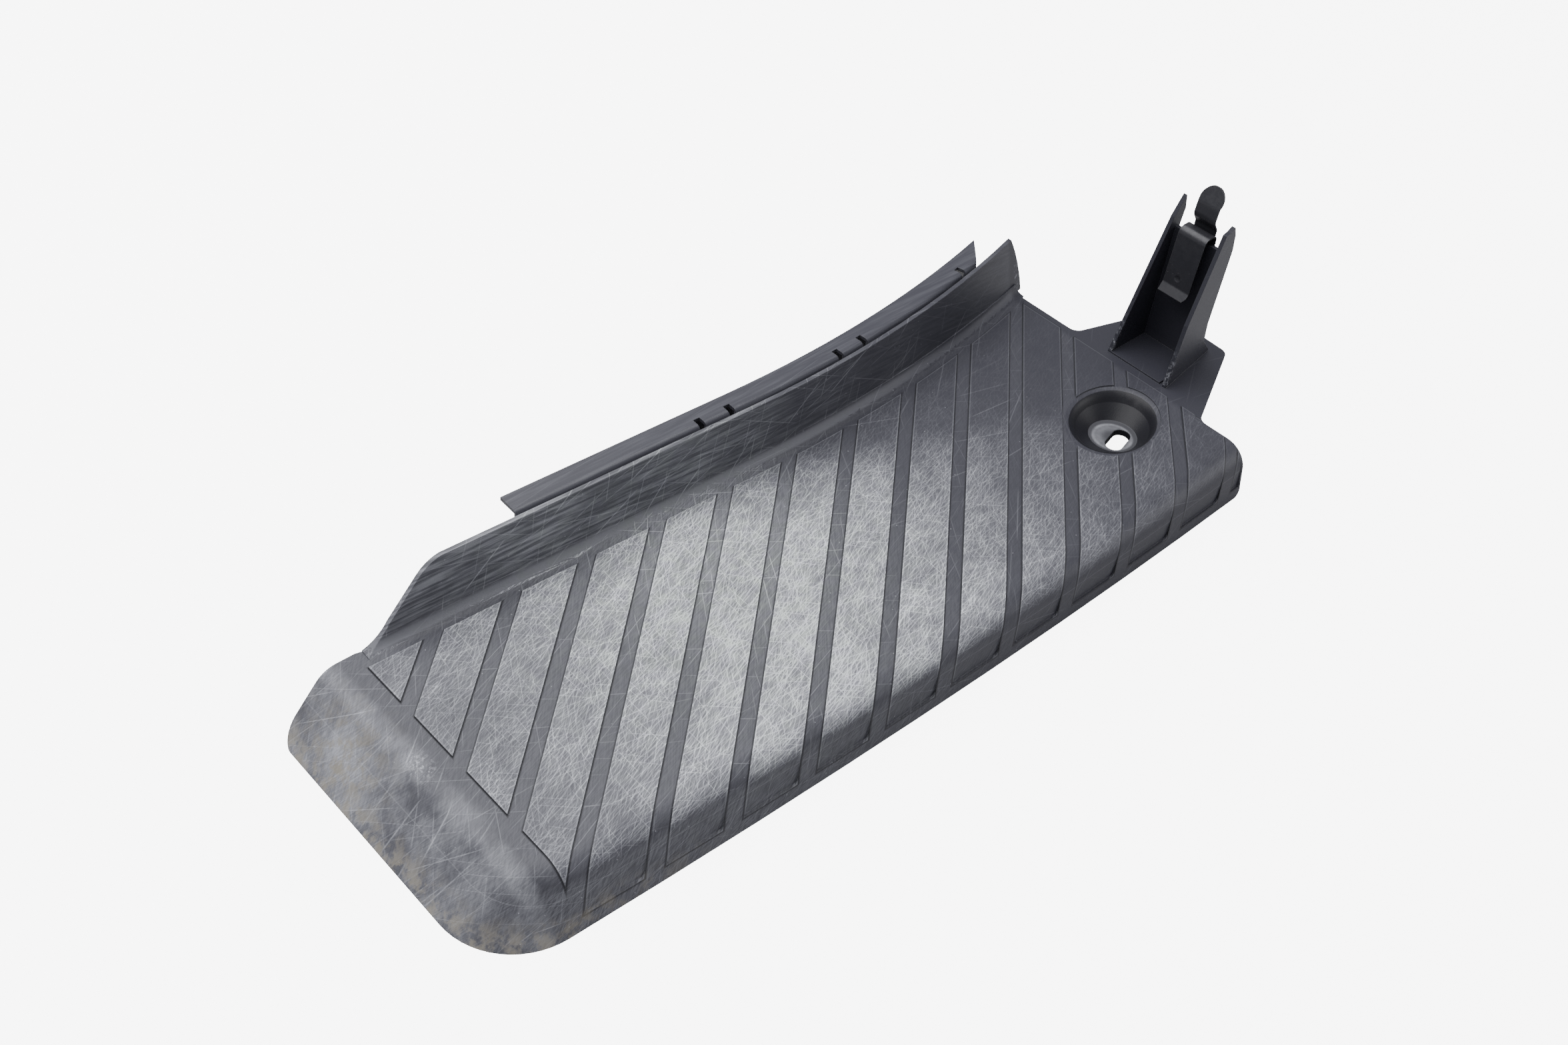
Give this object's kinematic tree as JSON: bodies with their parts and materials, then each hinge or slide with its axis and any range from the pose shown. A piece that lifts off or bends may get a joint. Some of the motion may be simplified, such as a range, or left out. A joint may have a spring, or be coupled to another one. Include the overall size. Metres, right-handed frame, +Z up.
{
  "type": "vehicle entry step cover",
  "caption": "Moulded plastic cover for a vehicle's entry step: ribbed tread, rounded nose, upstand, screw cup and a clip tower.",
  "frame": {"origin": "centre of the object's box, at the level of the rim it stands on", "axes": "+X along the step towards the clip tower, +Y to the upstand at the rear, +Z up"},
  "size_m": [0.7016, 0.2578, 0.1705],
  "materials": {
    "panel": "fine-grained black polypropylene, worn grey on the pads",
    "strip": "smooth satin black plastic",
    "spring_steel": "black e-coat, satin",
    "clip_steel": "zinc-plated spring steel",
    "foam": "closed-cell foam"
  },
  "bodies": {
    "cover": {"tread_panel": "panel", "rear_strip": "strip", "tower_clip": "spring_steel", "body_clip_left": "clip_steel", "body_clip_mid": "clip_steel", "body_clip_front": "clip_steel", "rest_pad_left": "foam", "rest_pad_right": "foam", "rest_pad_front_left": "foam", "rest_pad_front_right": "foam"},
    "clip_tongue": {"tower_clip_tongue": "spring_steel"}
  },
  "joints": [
    {"name": "tongue_flex", "type": "hinge", "parent": "cover", "child": "clip_tongue", "pos_m": [0.31995, -0.01388, 0.1265], "axis": [0, 1, 0], "range_deg": [0, 8], "stiffness_Nm_per_rad": 1.5}
  ]
}
